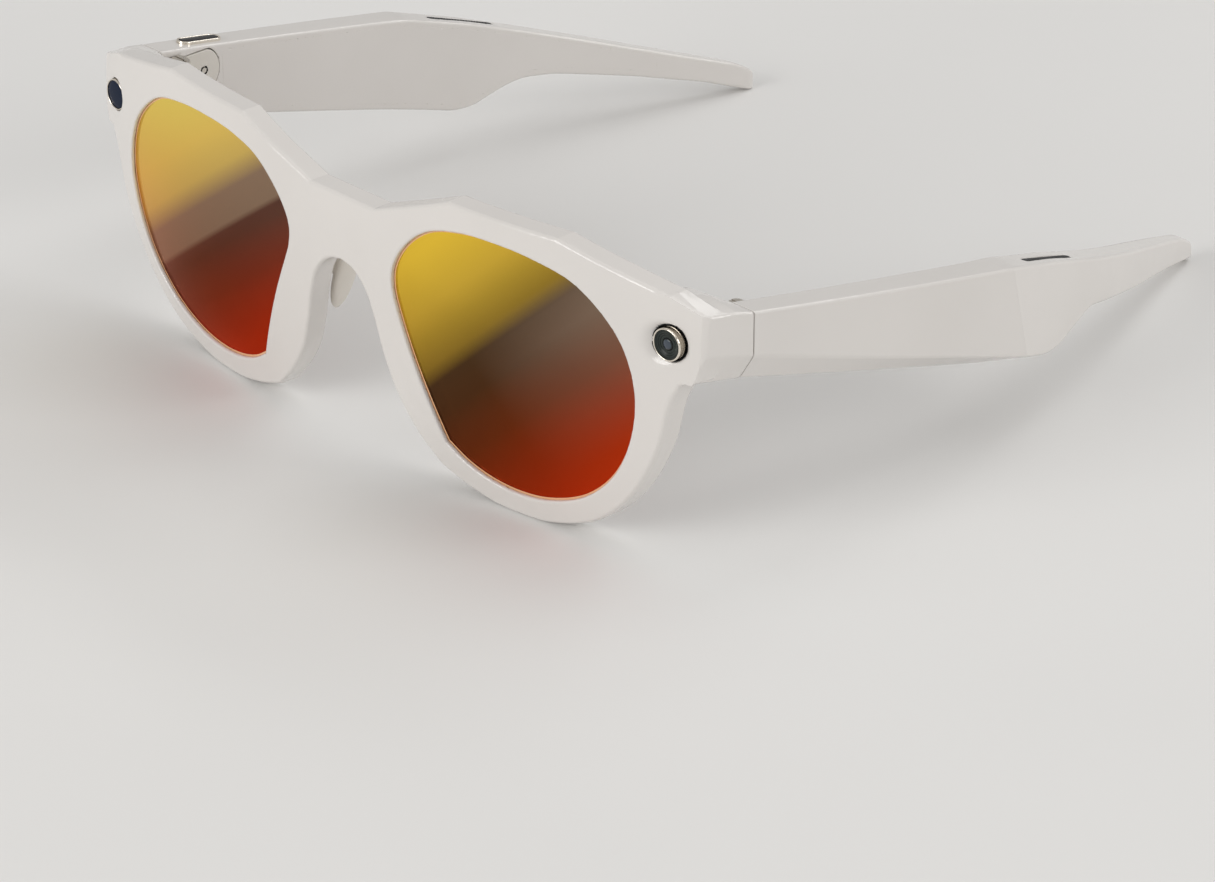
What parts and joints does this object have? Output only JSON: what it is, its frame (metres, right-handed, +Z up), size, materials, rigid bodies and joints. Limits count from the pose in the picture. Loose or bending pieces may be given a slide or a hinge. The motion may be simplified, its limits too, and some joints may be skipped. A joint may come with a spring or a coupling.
{
  "type": "smart glasses",
  "caption": "Smart glasses with mirror lenses, a camera window at one end of the front, a light window at the other, hollow folding temples and a capture button.",
  "frame": {"origin": "midway between the front face and the temple tips, on the surface that the rims and tips rest on", "axes": "+X to the wearer's left, +Y from the front towards the ears, +Z up"},
  "size_m": [0.154, 0.1478, 0.0522],
  "materials": {
    "frame_gloss": "polished cream injection-moulded plastic",
    "lens_mirror": "mirror coated lens, yellow at the top fading to deep red",
    "pad_silicone": "soft satin silicone",
    "contact_gold": "gold plated",
    "ring_steel": "polished warm metal",
    "window_glass": "dark polished cover glass",
    "black_gloss": "polished black",
    "light_diffuser": "milky diffuser",
    "circuit": "green solder mask",
    "hinge_steel": "fine brushed stainless steel",
    "battery_foil": "dull laminated foil",
    "speaker_cloth": "black acoustic mesh",
    "flex_amber": "amber polyimide film"
  },
  "bodies": {
    "front": {"front_frame": "frame_gloss", "front_flex": "flex_amber", "brow_cover": "frame_gloss", "lens_left": "lens_mirror", "lens_right": "lens_mirror", "nose_pad_left": "pad_silicone", "nose_pad_right": "pad_silicone", "charge_contact_left": "contact_gold", "charge_contact_right": "contact_gold", "bay_cover_left": "frame_gloss", "bay_cover_right": "frame_gloss", "camera_ring": "ring_steel", "camera_window": "window_glass", "camera_barrel": "black_gloss", "camera_board": "circuit", "light_ring": "ring_steel", "light_window": "window_glass", "light_guide": "light_diffuser", "light_board": "circuit", "hinge_front_leaf_left": "hinge_steel", "hinge_front_leaf_right": "hinge_steel", "hinge_pin_left": "hinge_steel", "hinge_pin_right": "hinge_steel", "hinge_front_screw_left": "hinge_steel", "hinge_front_screw_right": "hinge_steel"},
    "temple_left": {"temple_housing_left": "frame_gloss", "temple_cover_left": "frame_gloss", "hinge_temple_leaf_left": "hinge_steel", "hinge_temple_screw_left": "hinge_steel", "circuit_board_left": "circuit", "battery_left": "battery_foil", "speaker_left": "black_gloss", "speaker_mesh_left": "speaker_cloth", "microphone_left": "battery_foil"},
    "temple_right": {"temple_housing_right": "frame_gloss", "temple_cover_right": "frame_gloss", "hinge_temple_leaf_right": "hinge_steel", "hinge_temple_screw_right": "hinge_steel", "circuit_board_right": "circuit", "battery_right": "battery_foil", "speaker_right": "black_gloss", "speaker_mesh_right": "speaker_cloth", "microphone_right": "battery_foil", "capture_rim": "ring_steel", "capture_switch": "black_gloss", "touch_strip": "flex_amber"},
    "capture_button": {"capture_button": "black_gloss"}
  },
  "joints": [
    {"name": "hinge_left", "type": "hinge", "parent": "front", "child": "temple_left", "pos_m": [0.0683, -0.05105, 0.03764], "axis": [0, 0.0401, 0.9992], "range_deg": [0, 84]},
    {"name": "hinge_right", "type": "hinge", "parent": "front", "child": "temple_right", "pos_m": [-0.0683, -0.05105, 0.03764], "axis": [0, -0.0401, -0.9992], "range_deg": [0, 77]},
    {"name": "capture_press", "type": "slide", "parent": "temple_right", "child": "capture_button", "axis": [0.0073, -0.2114, -0.9774], "range_m": [0, 0.0004], "stiffness_N_per_m": 2000, "springref_m": -0.0002}
  ]
}
